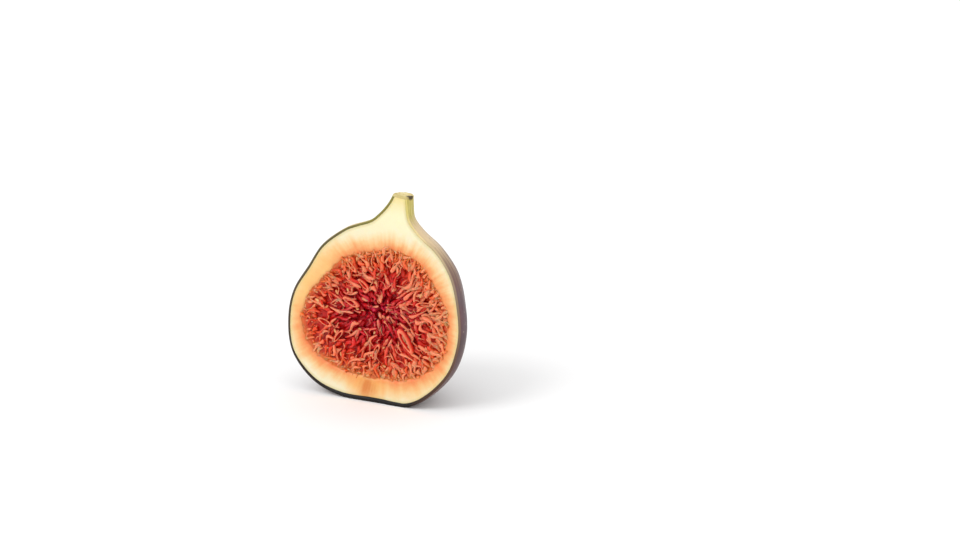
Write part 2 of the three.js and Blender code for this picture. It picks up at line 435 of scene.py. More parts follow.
class Effect(Recipe):
    """A node group with named inputs and one named output."""

    def __init__(self, name, inputs, output, kind):
        super().__init__(bpy.data.node_groups.new(name, "ShaderNodeTree"))
        sockets = self.tree.interface
        for given, given_kind in inputs.items():
            sockets.new_socket(name=given, in_out="INPUT", socket_type="NodeSocket" + given_kind)
        sockets.new_socket(name=output, in_out="OUTPUT", socket_type="NodeSocket" + kind)
        self.given = self.tree.nodes.new("NodeGroupInput").outputs
        self.result = self.tree.nodes.new("NodeGroupOutput").inputs[output]

    def done(self, value):
        """Links what the group puts out, and gives the group."""
        self.tree.links.new(value, self.result)
        return self.tree


# %% [markdown]
# The stalk's end has a small brown bruise, which runs from its rim down onto the skin. The stalk and
# the skin are finishes of their own and need it at the same place, so it is such a node group. It
# takes a place and puts out the bruise's mask there, with an uneven edge.

# %% The bruise, a node group for stalk and skin
BRUISE = Vector((9.4, 1.8, 59.8))  # on the rim of the stalk's end
BRUISE_TINT = (62, 46, 12)

browning = Effect("bruise", {"Place": "Vector"}, "Mask", "Float")
browning.where = browning.given["Place"]
from_bruise = browning.plus(browning.distance(BRUISE), browning.swing(browning.clouds(620, 4, 0.6), 0.0016))
bruise = browning.done(browning.span(from_bruise, 0.001, 0.0017, 0.97, 0))
print("Bruise group:", len(bruise.nodes), "nodes")

# %% [markdown]
# ## Skin
# A ripe dark fig has a thin, tender skin. It is purple brown with a dusty blue-grey bloom, paler
# lines run lengthwise over its low ribs, and it fades to beige at the shoulder and yellow green at
# the neck. The knife shows it as a dark line round the cut face. It is made as a thin shell on the
# wrapped sheet: the sheet is copied, the copy sunk inwards, and the two edges bridged, which leaves a
# real cut edge.

# %% The shell
def skin_thickness(share):
    """Thin over the shoulder, and thicker round the base."""
    return 0.64 + 0.66 * max(0.0, 1 - share / 0.24)


skin = fruit_sheet(columns=150, rows=210)
cut_layer = skin.verts.layers.float.new("cut")
rim = [edge for edge in skin.edges if edge.is_boundary]
copied = bmesh.ops.duplicate(skin, geom=skin.verts[:] + skin.edges[:] + skin.faces[:])
inner_rim = [copied["edge_map"][edge] for edge in rim]
ways = inward_ways(skin)
inner_verts = [part for part in copied["geom"] if isinstance(part, bmesh.types.BMVert)]
inner_faces = [part for part in copied["geom"] if isinstance(part, bmesh.types.BMFace)]
share_layer = skin.verts.layers.float["share"]
for vert in inner_verts:
    thickness = skin_thickness(vert[share_layer])
    vert.co += ways[vert] * thickness
    vert.co.z = max(vert.co.z, floor_under(vert.co, thickness))
bmesh.ops.reverse_faces(skin, faces=inner_faces)
bmesh.ops.bridge_loops(skin, edges=rim + inner_rim)
for vert in inner_verts:
    vert[cut_layer] = 1.0
print("Skin shell:", len(skin.faces), "faces, closed:", all(e.is_manifold for e in skin.edges))

# %% [markdown]
# The knife leaves the rim sharp, but a smooth-shaded mesh would blend the light over it and blur the
# dark line. A bevel along the rim holds the two surfaces apart. It is told to stop before it meets
# itself, which keeps it to a few thousandths of a millimetre here, and that is all it takes.

# %% A very fine bevel along the rim
outer_rim = [edge for edge in rim if edge.is_valid]
bmesh.ops.bevel(
    skin, geom=outer_rim, offset=0.12, offset_type="OFFSET", segments=2, profile=0.5,
    affect="EDGES", material=-1, clamp_overlap=True,
)
for vert in skin.verts:
    if abs(vert.co.y) < 0.02:
        vert[cut_layer] = 1.0
print("Skin with its rim:", len(skin.faces), "faces")

# %% [markdown]
# The skin's colour is laid down in layers, from the ground out: purple brown, a reddish flush,
# lengthwise lines, a browner base, the pale shoulder, green towards the stalk, pale freckles, and the
# bloom over all of it, worn off in patches. The lines follow the surface, so they read an attribute
# that holds the turn round the fruit and the way up it, not the place in space.

# %% A map of the skin's own directions
flow_layer = skin.verts.layers.float_vector.new("flow")
turn_layer = skin.verts.layers.float["turn"]
share_layer = skin.verts.layers.float["share"]
for vert in skin.verts:
    turn = vert[turn_layer]
    vert[flow_layer] = Vector((math.cos(turn), math.sin(turn), vert[share_layer]))

# %% Skin: ground, flush and lines
peel = Finish(
    "fig skin", Coat_Weight=0.08, Coat_Roughness=0.35, Sheen_Weight=0.08, Sheen_Roughness=0.5,
    Specular_IOR_Level=0.2,
)
flow, share = peel.attribute("flow", "Vector"), peel.attribute("share")
drawn_out = peel.add("Mapping", {"Vector": flow, "Scale": (1, 1, 0.22)}).outputs["Vector"]
streaks, fine_streaks = peel.clouds(15, 4, 0.6, drawn_out), peel.clouds(46, 3, 0.6, drawn_out)
patches = peel.clouds(60, 5, 0.62)
peel.ground = peel.ramp(patches, [(0.3, (50, 30, 41)), (0.5, (76, 50, 60)), (0.7, (98, 68, 72))])
peel.lay((140, 66, 62), peel.span(peel.clouds(34), 0.52, 0.68, 0, 0.75))
peel.lay((150, 118, 104), peel.span(streaks, 0.5, 0.72, 0, 0.5))
peel.lay((92, 58, 40), peel.span(share, 0.1, 0.44, 0.75, 0))
peel.lay((128, 96, 98), peel.span(fine_streaks, 0.52, 0.75, 0, 0.35))

# %% Skin: shoulder, red behind and beige near the cut, and neck
up = peel.plus(share, peel.swing(streaks, 0.16))
parts_of_flow = peel.add("SeparateXYZ", {"Vector": flow}).outputs
behind = peel.plus(parts_of_flow["Y"], peel.swing(patches, 0.5))
near_cut = peel.span(behind, 0.3, 0.85, 1, 0.25)
peel.lay((166, 92, 68), peel.times(peel.span(up, 0.5, 0.66, 0, 0.8), peel.span(behind, 0.3, 0.8)))
peel.lay((160, 132, 104), peel.times(peel.span(up, 0.36, 0.52, 0, 0.6), near_cut))
peel.lay((226, 200, 158), peel.times(peel.span(up, 0.47, 0.6, 0, 0.88), near_cut))
neck = peel.blend(peel.span(fine_streaks, 0.4, 0.7), colour(178, 166, 72), colour(218, 202, 124))
peel.lay(neck, peel.span(up, 0.63, 0.73))
peel.lay((218, 190, 104), peel.span(up, 0.76, 0.86, 0, 0.75))

# %% Skin: freckles, bloom and bruise
freckles = peel.add("TexVoronoi", {"Vector": peel.where, "Scale": 620, "Randomness": 1.0})
peel.lay((168, 144, 122), peel.span(freckles.outputs["Distance"], 0.1, 0.2, 0.55, 0))
bloom_field = peel.clouds(110, 6, 0.7)
bloom = peel.times(peel.span(bloom_field, 0.36, 0.66, 0.1, 0.55), peel.span(up, 0.38, 0.56, 1, 0.05))
peel.lay((118, 104, 110), peel.times(bloom, peel.span(up, 0.12, 0.4, 0.35, 1)))
peel.lay(BRUISE_TINT, peel.group(bruise, {"Place": peel.where}, "Mask"))

# %% [markdown]
# In the cut the skin shows its own section: brown on the left, beige on the right, and olive at the
# neck. At the base it is painted nearly black: its own dark edge, thickest there, darkened further as
# painted shade for the shadow where the fruit meets the floor. The shell carries an attribute, "cut",
# that is 1 on this section and on the hidden inner side, so one mask tells them from the skin outside.

# %% Skin: its cut edge
# The near-black first stops of both ramps are the skin's dark edge darkened further as painted shade, for
# the shadow under the base.
left_edge = peel.ramp(up, [
    (0.07, (12, 7, 5)), (0.18, (40, 30, 22)), (0.4, (82, 70, 52)), (0.58, (100, 92, 54)),
    (0.7, (134, 126, 60)),
])
right_edge = peel.ramp(up, [
    (0.08, (12, 7, 5)), (0.24, (88, 60, 46)), (0.45, (150, 130, 108)), (0.6, (224, 202, 150)),
    (0.72, (208, 192, 112)),
])
section = peel.blend(peel.span(parts_of_flow["X"], -0.2, 0.4), left_edge, right_edge)
peel.lay(section, peel.span(peel.attribute("cut"), 0.35, 0.9))
peel.tree.links.new(peel.span(bloom_field, 0.3, 0.7, 0.36, 0.62), peel.shader.inputs["Roughness"])
relief = peel.plus(peel.times(fine_streaks, 0.6), peel.clouds(1500))
finish_piece(skin, "fig_skin", "rind", peel.done(relief, 0.35, 0.00012))

# %% [markdown]
# ## The edge of the pulp
# Flesh, bed and florets all change colour with the distance from the edge of the pulp. So one
# measure is kept for all three, in millimetres, less than 0 in the flesh and more in the pulp. The
# edge is the outline of the pulp's pocket, except that the flesh reaches further in under the neck,
# and the pulp a little further out on the left.

# %% Places round the hub
HUB = Vector((4.6, 0.0, 27.2))  # the florets point at it


def from_hub(angle, distance):
    """The point of the cut at an angle and a distance from the hub."""
    return HUB + Vector((math.cos(angle), 0, math.sin(angle))) * distance


def polar(point):
    """Angle and distance from the hub, in the plane of the cut."""
    x, z = point.x - HUB.x, point.z - HUB.z
    return math.atan2(z, x), math.hypot(x, z)


# %% Distance from the hub to the edge of the pulp, all the way round
EDGE_SAMPLES, EDGE_STEPS = 2000, 720
EDGE_CHANGES = [(1.85, -1.4, 5), (3.4, 0.7, 20)]  # angle, millimetres further out, how narrow


def edge_table():
    """The pocket's outline in the cut, as one distance from the hub for each step round it."""
    found = []
    for sample in range(EDGE_SAMPLES + 1):
        middle, half, reach, set_back = pocket_ring(sample / EDGE_SAMPLES)
        off_centre = min(set_back / max(reach, 1e-6), MOST_OFF_CENTRE)
        for side in (-1, 1):
            angle, distance = polar(middle + half * side * math.sqrt(1 - off_centre**2))
            found.append((angle % math.tau, distance))
    found.sort()
    found = [(found[-1][0] - math.tau, found[-1][1]), *found, (found[0][0] + math.tau, found[0][1])]
    table, place = [], 0
    for step in range(EDGE_STEPS):
        angle = math.tau * step / EDGE_STEPS
        while found[place + 1][0] < angle:
            place += 1
        (a, near), (b, far) = found[place], found[place + 1]
        table.append(near + (far - near) * (angle - a) / max(b - a, 1e-9))
    return table


EDGE = edge_table()


def pulp_edge(angle):
    """Distance from the hub to the edge of the pulp."""
    place = (angle % math.tau) / math.tau * EDGE_STEPS
    low = int(place) % EDGE_STEPS
    edge = EDGE[low] + (EDGE[(low + 1) % EDGE_STEPS] - EDGE[low]) * (place - int(place))
    return edge + sum(out * max(0.0, math.cos(angle - at)) ** narrow for at, out, narrow in EDGE_CHANGES)


def write_rim(bm):
    """Keeps each vertex's distance inside the edge of the pulp."""
    layer = bm.verts.layers.float.new("rim")
    for vert in bm.verts:
        angle, distance = polar(vert.co)
        vert[layer] = pulp_edge(angle) - distance


print("Pulp reaches", round(min(EDGE), 1), "to", round(max(EDGE), 1), "mm from the hub")

# %% [markdown]
# ## Flesh
# The flesh is the wall of the cup: cream under the skin, peach and then orange towards the pulp, and
# pale green yellow up the neck, with a stain of orange where the knife went through the eye. It
# starts as the same wrapped sheet, with fewer columns and just inside the skin. The edge that lies in
# the cut is extruded inwards loop after loop, which lays a dense, slightly uneven cut face, and then
# on down into the pocket.

# %% The body under the skin, a little way under its inner side
UNDERLAP = 0.06  # how far the flesh reaches into the skin

flesh = fruit_sheet(columns=30, rows=330)
share_layer = flesh.verts.layers.float["share"]
for vert, way in inward_ways(flesh).items():
    depth = skin_thickness(vert[share_layer]) - UNDERLAP
    vert.co += way * depth
    vert.co.z = max(vert.co.z, floor_under(vert.co, depth))
print("Flesh sheet:", len(flesh.faces), "faces")

# %% Its stalk end, closed by one flat face
NEAR_STALK = 0.9  # from the plane of the stalk's cut


def chain_of(edges):
    """The vertices of a closed chain of edges, in order."""
    chain = [edges[0].verts[0]]
    while len(chain) < len(edges):
        ways = [edge.other_vert(chain[-1]) for edge in chain[-1].link_edges if edge in edges]
        chain.append(next(vert for vert in ways if len(chain) < 2 or vert is not chain[-2]))
    return chain


top = [
    edge for edge in flesh.edges
    if edge.is_boundary and not all(abs(v.co.y) < 1e-3 for v in edge.verts)
    and all(abs((v.co - STALK_AT).dot(STALK_FACING)) < NEAR_STALK for v in edge.verts)
]
corners = [vert for vert in flesh.verts if sum(edge in top for edge in vert.link_edges) == 1]
print("Stalk corners:", [tuple(round(part, 1) for part in vert.co) for vert in corners])
front = flesh.edges.new(corners)
flesh.faces.new(chain_of(top + [front]))
bmesh.ops.subdivide_edges(flesh, edges=[front], cuts=14)

# %% The cut face, loop after loop
FACE_LOOPS = 26


def cut_relief(point):
    """The knife leaves the flesh not quite even: it swells a little, and is finely ridged."""
    angle, distance = polar(point)
    swell = 0.16 * noise.noise(Vector((point.x, point.z, 3)) * 0.14)
    grain = 0.05 * noise.noise(Vector((point.x, point.z, 7)) * 0.9)
    rays = 0.035 * noise.noise(Vector((30 * math.cos(angle), 30 * math.sin(angle), distance / 4)))
    return swell + grain + rays


def ragged(angle):
    """The edge wanders in and out where florets grow from the flesh."""
    around = Vector((math.cos(angle), math.sin(angle), 0))
    return 0.55 * noise.noise(around * 7) + 0.35 * noise.noise(around * 23)


def extend(bm, loop, place, *plan):
    """Extrudes a loop of edges, lets place move each new vertex, and returns the new loop."""
    made = bmesh.ops.extrude_edge_only(bm, edges=loop)["geom"]
    fresh = {part for part in made if isinstance(part, bmesh.types.BMVert)}
    for vert in fresh:
        place(vert, *plan)
    edges = [part for part in made if isinstance(part, bmesh.types.BMEdge)]
    return [edge for edge in edges if edge.verts[0] in fresh and edge.verts[1] in fresh]


def towards_pulp(vert, left):
    """One step nearer to the edge of the pulp, with so many steps left after it."""
    angle, distance = polar(vert.co)
    inner = pulp_edge(angle) + ragged(angle)
    vert.co = from_hub(angle, inner + (distance - inner) * left / (left + 1))
    vert.co.y = cut_relief(vert.co) * min(1, 20 / (left + 1))


loop = [edge for edge in flesh.edges if edge.is_boundary]
outline = [vert.co.copy() for vert in {vert for edge in loop for vert in edge.verts}]
for left in reversed(range(FACE_LOOPS)):
    loop = extend(flesh, loop, towards_pulp, left)
print("Cut face reaches the pulp with", len(loop), "edges")

# %% Roll over the edge of the pocket and close it behind the pulp
POCKET_ROLL = [  # how much further in than the loop before, and how far behind the cut
    (0.5, 0.12), (0.4, 0.5), (0.3, 1.4), (1.2, 5.0), (3.0, 9.0), (5.0, 13.0),
]


def into_pocket(vert, inwards, behind):
    """One step down the wall of the pocket."""
    angle, distance = polar(vert.co)
    vert.co = from_hub(angle, distance - inwards)
    vert.co.y = behind + cut_relief(vert.co)


for inwards, behind in POCKET_ROLL:
    loop = extend(flesh, loop, into_pocket, inwards, behind)
bmesh.ops.edgeloop_fill(flesh, edges=loop)
bmesh.ops.recalc_face_normals(flesh, faces=flesh.faces)
write_rim(flesh)
print("Flesh:", len(flesh.faces), "faces, closed:", all(e.is_manifold for e in flesh.edges))

# %% How far each point of the flesh is from the skin
near_skin = KDTree(len(outline))
for index, point in enumerate(outline):
    near_skin.insert(point, index)
near_skin.balance()
skin_gap = flesh.verts.layers.float.new("skin_gap")
for vert in flesh.verts:
    vert[skin_gap] = near_skin.find(Vector((vert.co.x, 0, vert.co.z)))[2]
    if vert[skin_gap] < 1e-4:
        vert.co.y = max(vert.co.y, UNDERLAP)
print("Flesh lies up to", round(max(vert[skin_gap] for vert in flesh.verts), 1), "mm from the skin")

# %% [markdown]
# Ripening colours the flesh from the pulp outwards. That run of colours also tints the bed and the
# florets, so it is one node group, "ripeness", which the flesh and the wet pulp share. Its inputs are
# the distance from the edge of the pulp and how far the colour wanders, its output the colour.

# %% Ripeness, a node group for flesh, bed and florets
ripening = Effect("ripeness", {"Distance": "Float", "Wander": "Float"}, "Color", "Color")
inside = ripening.plus(ripening.given["Distance"], ripening.given["Wander"])
depths = {"Value": inside, "From Min": -5.0, "From Max": 21.0}  # millimetres inside the edge
ripeness = ripening.done(ripening.ramp(ripening.add("MapRange", depths).outputs["Result"], [
    (0.0, (232, 222, 188)), (0.06, (232, 208, 160)), (0.12, (232, 184, 124)), (0.17, (230, 152, 88)),
    (0.22, (230, 122, 60)), (0.3, (230, 92, 38)), (0.38, (228, 70, 30)), (0.5, (220, 50, 30)),
    (0.64, (208, 36, 36)), (0.85, (192, 26, 46)), (1.0, (184, 26, 60)),
]))
print("Ripeness group:", len(ripeness.nodes), "nodes")

# %% Flesh: how its colour wanders, in millimetres
wall = Finish(
    "fig flesh", Roughness=0.42, Subsurface_Weight=0.25, Subsurface_Scale=0.0012,
    Subsurface_Radius=(1.0, 0.6, 0.3), Coat_Weight=0.15, Coat_Roughness=0.3,
)
rim = wall.attribute("rim")
height = wall.add("SeparateXYZ", {"Vector": wall.where}).outputs["Z"]
mottle = wall.clouds(260, 5, 0.65)
soft_patches = wall.clouds(95)
outwards = wall.add("VectorMath", {0: wall.where, 1: STAND @ HUB}, operation="SUBTRACT").outputs["Vector"]
heading = wall.add("VectorMath", {0: outwards}, operation="NORMALIZE").outputs["Vector"]
rays = wall.clouds(13, 3, 0.6, heading)
wander = wall.plus(wall.swing(mottle, 3.4), wall.swing(soft_patches, 3.0))
wander = wall.plus(wander, wall.swing(rays, 3.6))
wall.ground = wall.group(ripeness, {"Distance": rim, "Wander": wander}, "Color")

# %% Flesh: neck, the warm side, the green line under the skin, and the eye's stain
SUNNY_SIDE = Vector((-21.0, 0.0, 33.0))  # the middle of the warm side
EYE = Vector((-1.2, 0.0, 4.6))  # where the knife met the eye's channel

wall.lay((236, 230, 188), wall.span(height, 0.045, 0.054, 0, 0.85))
warm = wall.span(wall.distance(SUNNY_SIDE), 0.004, 0.019, 0.6, 0)
warm = wall.plus(warm, wall.span(soft_patches, 0.48, 0.7, 0, 0.25))
wall.lay((236, 190, 116), wall.times(warm, wall.span(height, 0.038, 0.05, 1, 0.25)))
wall.lay((206, 188, 122), wall.span(wall.attribute("skin_gap"), 0.15, 1.1, 0.5, 0))
wall.lay((230, 206, 124), wall.span(height, 0.053, 0.0605, 0, 0.8))
from_eye = wall.plus(wall.distance(EYE), wall.swing(mottle, 0.005))
wall.lay((234, 172, 88), wall.span(from_eye, 0.002, 0.0085, 0.75, 0))
stain = wall.span(from_eye, 0.0004, 0.0046, 0.95, 0)
wall.lay((210, 120, 42), wall.times(stain, wall.span(rays, 0.3, 0.6, 0.5, 1)))
relief = wall.plus(wall.clouds(900, 4, 0.6), wall.times(mottle, 0.8))
relief = wall.plus(relief, wall.times(rays, wall.span(rim, -4, 0, 0, 1.5)))
finish_piece(flesh, "fig_flesh", "rind", wall.done(relief, 0.3, 0.00025))

# %% [markdown]
# ## Stalk end
# The stalk was cut when the fig was picked. Its end has dried to straw, with an olive rim, a grain of
# fibres, and the bruise on the right. It is a thin cap with the outline of the neck: a disc whose
# loops are set in one by one, so that the rim can stand up and the middle sink.

# %% Outline of the stalk's end
RIM_STEPS, FRONT_STEPS = 400, 60
PAST_CUT = 0.75  # how far the turns start and end past the cut, where no point is kept


def stalk_outline(turn):
    """The point of the skin at a turn round the stalk, on the plane of its cut."""
    low, high = 9 / STEPS, NECK_END
    for _ in range(30):
        share = (low + high) / 2
        point = on_ring(fruit_ring(share), share, turn)
        low, high = (share, high) if (point - STALK_AT).dot(STALK_FACING) < 0 else (low, share)
    return point


TURNS = [-PAST_CUT + (math.pi + 2 * PAST_CUT) * step / RIM_STEPS for step in range(RIM_STEPS + 1)]
STALK_RIM = [point for point in map(stalk_outline, TURNS) if point.y > 0]
STALK_RIM += [STALK_RIM[-1].lerp(STALK_RIM[0], step / FRONT_STEPS) for step in range(1, FRONT_STEPS)]
STALK_MIDDLE = sum(STALK_RIM, Vector()) / len(STALK_RIM)
print("Stalk end is", round(max(p.x for p in STALK_RIM) - min(p.x for p in STALK_RIM), 1), "mm wide")


# %% A body drawn through loops
def draw_through(bm, loops, place):
    """Lays the one loop of a shape by the first plan, extrudes it through the others, and closes it."""
    loop = bm.edges[:]
    for vert in bm.verts:
        place(vert, *loops[0])
    bmesh.ops.edgeloop_fill(bm, edges=loop)
    for plan in loops[1:]:
        loop = extend(bm, loop, place, *plan)
    bmesh.ops.edgeloop_fill(bm, edges=loop)
    bmesh.ops.recalc_face_normals(bm, faces=bm.faces)


# %% The cap
SIDES = 84
CAP_LOOPS = [  # size, height over the cut
    (0.9, -0.9), (1.0, -0.5), (1.03, -0.1), (1.01, 0.16), (0.94, 0.3), (0.84, 0.26), (0.7, 0.19),
    (0.52, 0.18), (0.34, 0.2), (0.18, 0.24), (0.06, 0.24),
]
stalk = bmesh.new()
side_layer = stalk.verts.layers.int.new("side")


def on_cap(vert, size, rise):
    """A place on the cap: the rim's own point of this side, drawn in and up, and roughened."""
    base = STALK_RIM[int(vert[side_layer] * len(STALK_RIM) / SIDES)]
    point = STALK_MIDDLE + (base - STALK_MIDDLE) * size
    rough = noise.noise(point * 1.7) * 0.1 + noise.noise(point * 4.5) * 0.03
    vert.co = point + STALK_FACING * (rise + rough * min(1, max(0, (rise + 0.5) * 2)))


ring = bmesh.ops.create_circle(stalk, segments=SIDES, radius=1)["verts"]
for side, vert in enumerate(ring):
    vert[side_layer] = side
draw_through(stalk, CAP_LOOPS, on_cap)
stalk.verts.layers.int.remove(side_layer)

# %% Dried stalk
straw = Finish("dried stalk", Roughness=0.78)
fibres, blotches = straw.clouds(1900, 4, 0.7), straw.clouds(620, 4, 0.6)
straw.ground = straw.ramp(blotches, [
    (0.35, (196, 172, 108)), (0.5, (226, 208, 146)), (0.66, (236, 224, 172)),
])
straw.lay((170, 144, 88), straw.span(fibres, 0.52, 0.7, 0, 0.5))
olive_rim = straw.span(straw.distance(STALK_MIDDLE), 0.0021, 0.003, 0, 0.6)
straw.lay((178, 160, 96), olive_rim)
straw.lay(BRUISE_TINT, straw.group(bruise, {"Place": straw.where}, "Mask"))
finish_piece(stalk, "stalk_end", "rind", straw.done(fibres, 0.7, 0.0002))

# %% [markdown]
# ## Bed of the pulp
# Between the florets the eye falls on a dark, wet red: more florets, too deep to tell apart, in
# shade. The bed is that red, painted dark as that shade. It is a closed body that fills the pocket,
# with a dished and lumpy front, which starts just behind the cut and sinks towards the hub. Loops go
# out from a small circle at the back, round the edge, and in again over the front.

# %% The front of the bed
BED_EDGE, BED_SINK = 0.15, 2.6  # behind the cut at its edge, and how much deeper at the hub
BED_SPARE = 0.5  # how far it goes into the flesh
FRONT_LOOPS = 62
BED_LOOPS = [  # share of the way from hub to edge, depth, which is left open on the front
    (0.1, 15.0), (0.3, 14.4), (0.62, 12.0), (0.85, 8.0), (0.97, 4.0), (1.0, 1.2),
]
BED_LOOPS += [(1 - step / FRONT_LOOPS, None) for step in range(FRONT_LOOPS)]


def bed_front(point, share):
    """How far behind the cut the front of the bed lies. At its edge it follows the flesh."""
    angle, distance = polar(point)
    sunk = BED_EDGE + BED_SINK * max(0.0, 1 - share**2)
    rays = noise.noise(Vector((9 * math.cos(angle), 9 * math.sin(angle), distance * 0.12)))
    lumps = noise.noise(Vector((point.x, point.z, 1)) * 0.55)
    grains = noise.noise(Vector((point.x, point.z, 5)) * 1.5)
    uneven = (0.3 * rays + 0.35 * lumps + 0.22 * grains) * min(1, (1 - share) * 6)
    return sunk + uneven + cut_relief(point) * share**4


def on_bed(vert, share, depth):
    """A place on the bed, in the same direction from the hub as before."""
    angle, _ = polar(vert.co)
    vert.co = from_hub(angle, (pulp_edge(angle) + BED_SPARE) * share)
    vert.co.y = bed_front(vert.co, share) if depth is None else depth


# %% Its loops, back to front
bed = bmesh.new()
at_hub = Matrix.Translation(HUB) @ Matrix.Rotation(math.pi / 2, 4, "X")
bmesh.ops.create_circle(bed, segments=300, radius=1, matrix=at_hub)
draw_through(bed, BED_LOOPS, on_bed)
write_rim(bed)
print("Bed:", len(bed.faces), "faces, closed:", all(e.is_manifold for e in bed.edges))

# %% [markdown]
# One wet finish serves the bed and every floret. Ripeness gives the colour of the place. On top of
# it each floret carries its own "tone", which differs at random and also holds painted light: the
# deep ones are darker and redder, as painted shade, and the top ones paler and pinker, partly their
# own colour and partly painted highlight. The shine comes from a thin coat of juice.

# %% Wet pulp
LEAST_INSIDE = 0.9  # so that florets which reach onto the flesh don't take its pale colour

juice = Finish(
    "wet pulp", Roughness=0.36, Specular_IOR_Level=0.16, Coat_Weight=0.28, Coat_Roughness=0.06,
    Subsurface_Weight=0.7, Subsurface_Scale=0.002, Subsurface_Radius=(1.0, 0.2, 0.12),
)
mottle = juice.clouds(420, 4, 0.6)
inside = juice.add("Math", {0: juice.attribute("rim"), 1: LEAST_INSIDE}, operation="MAXIMUM").outputs[0]
ripe = juice.group(ripeness, {"Distance": inside, "Wander": juice.swing(mottle, 3.0)}, "Color")
tone = juice.plus(juice.attribute("tone"), juice.swing(mottle, 0.5))
# Low tones go towards a dark red that is painted shade deep in the pocket, high tones towards a pale pink
# that is partly painted highlight.
deep, pale = juice.blend(0.8, ripe, colour(180, 6, 8)), juice.blend(0.64, ripe, colour(255, 158, 116))
juice.ground = juice.blend(juice.span(tone, 0.0, 0.5), deep, ripe)
juice.lay(pale, juice.span(tone, 0.5, 1.0))
wet_pulp = juice.done(juice.clouds(1200, 2), 0.22, 0.00015)

# %% The bed's tone: dark as painted shade, and lighter within a few millimetres of the edge, where it is shallow
DEEP_TONE, EDGE_TONE, EDGE_WIDTH = 0.05, 0.5, 3

tone_layer = bed.verts.layers.float.new("tone")
rim_layer = bed.verts.layers.float["rim"]
for vert in bed.verts:
    inside = min(1, max(0, vert[rim_layer] / EDGE_WIDTH))
    vert[tone_layer] = DEEP_TONE + (EDGE_TONE - DEEP_TONE) * (1 - inside)
finish_piece(bed, "pulp_bed", "pulp", wet_pulp)

# %% [markdown]
# ## Florets
# Each floret is a juicy stem with a swollen head. Near the edge of the cut they lie in its plane, and
# towards the middle they stand out of it, because all of them point at the hub. A few small
# shapes are modelled once and copied hundreds of times by matrices, each with its own length, turn
# and tone. Three layers of them, with gaps between, give the depth that a flat texture can't.


# %% One floret, foot at the origin and head one unit up
def floret_shape(head, waist, lobes, bend, curl=0.0, segments=8, rows=10, cap=0.26):
    """A drop: slim foot, swollen head, round ends, and a few lobes round its tip."""
    bm = bmesh.new()
    bmesh.ops.create_uvsphere(bm, u_segments=segments, v_segments=rows, radius=1)
    painted_shading_layer = bm.verts.layers.float.new("painted_shading")
    for vert in bm.verts:
        along = 0.5 + vert.co.z / 2
        angle = math.atan2(vert.co.y, vert.co.x)
        into_cap = max(0.0, (abs(vert.co.z) - 1 + 2 * cap) / (2 * cap))
        girth = waist + (head - waist) * math.exp(-(((along - 0.74) / 0.24) ** 2))
        crease = 1 + 0.2 * math.cos(lobes * angle) * max(0, along - 0.4) * 2
        size = 0.5 * girth * crease * math.sqrt(max(0.0, 1 - into_cap**2))
        sway = bend * math.sin(math.pi * along) + curl * math.sin(math.tau * along)
        vert.co = Vector((size * math.cos(angle) + sway, size * math.sin(angle), along))
        # The painted shading is painted light: a painted highlight along the front ridge, and painted shade
        # down the sides, at the back and towards the foot.
        ridge = 0.5 - 0.5 * math.sin(angle)
        vert[painted_shading_layer] = (0.6 + 0.4 * min(1, along / 0.7)) * (0.5 + 0.65 * ridge)
    return bm


def shape_mesh(bm, name):
    """Keeps a shape as a mesh, ready to be copied."""
    bmesh.ops.recalc_face_normals(bm, faces=bm.faces)
    mesh = bpy.data.meshes.new(name)
    bm.to_mesh(mesh)
    bm.free()
    return mesh


# %% Florets, and slimmer strands that curl
FLORETS = [
    shape_mesh(floret_shape(*floret), f"floret {index}")
    for index, floret in enumerate([  # head, waist, lobes, bend
        (1.0, 0.72, 0, 0.1), (1.0, 0.6, 3, 0.4), (0.95, 0.74, 2, -0.45), (1.1, 0.55, 3, 0.2),
        (0.9, 0.78, 0, 0.8), (1.0, 0.64, 2, -0.85), (0.95, 0.68, 3, 0.6), (1.05, 0.7, 0, -0.3),
    ])
]
STRANDS = [
    shape_mesh(floret_shape(1.05, waist, 0, bend, curl, rows=12, cap=0.18), f"strand {index}")
    for index, (waist, bend, curl) in enumerate([
        (0.66, 0.9, 0.0), (0.74, -1.2, 0.3), (0.6, 0.5, 0.6), (0.8, -0.6, -0.6), (0.7, 1.7, 0.3),
        (0.62, -1.9, 0.0), (0.76, 0.2, 0.8),
    ])
]
print("Shapes:", len(FLORETS), "florets and", len(STRANDS), "strands")

# %% Copies by matrix
FRONT = Vector((0, -1, 0))


def aim(foot, way, roll, width, thick, length):
    """The matrix that lays a shape from its foot along a way, with its +y side to the back."""
    way = way.normalized()
    side = way.cross(FRONT)
    side = side.normalized() if side.length > 1e-3 else Vector((1, 0, 0))
    out = way.cross(side)
    turned = Matrix.Rotation(roll, 3, way)
    side, out = turned @ side * width, turned @ out * thick
    way = way * length
    return Matrix((
        (side.x, out.x, way.x, foot.x), (side.y, out.y, way.y, foot.y),
        (side.z, out.z, way.z, foot.z), (0, 0, 0, 1),
    ))


def gather(copies):
    """Fuses copies (mesh, matrix, tone) into one shape. A vertex's tone is its copy's times its painted
    shading.
    """
    bm = bmesh.new()
    for mesh, matrix, tone in copies:
        painted_shadings = [0.0] * len(mesh.vertices)
        mesh.attributes["painted_shading"].data.foreach_get("value", painted_shadings)
        copy = mesh.copy()
        copy.transform(matrix)
        tones = copy.attributes.new("tone", "FLOAT", "POINT")
        tones.data.foreach_set("value", [tone * painted_shading for painted_shading in painted_shadings])
        bm.from_mesh(copy)
        bpy.data.meshes.remove(copy)
    write_rim(bm)
    return bm


# %% Which way a floret lies, and whether it fits
POCKET_DEPTH = 15.0  # as deep as the bed


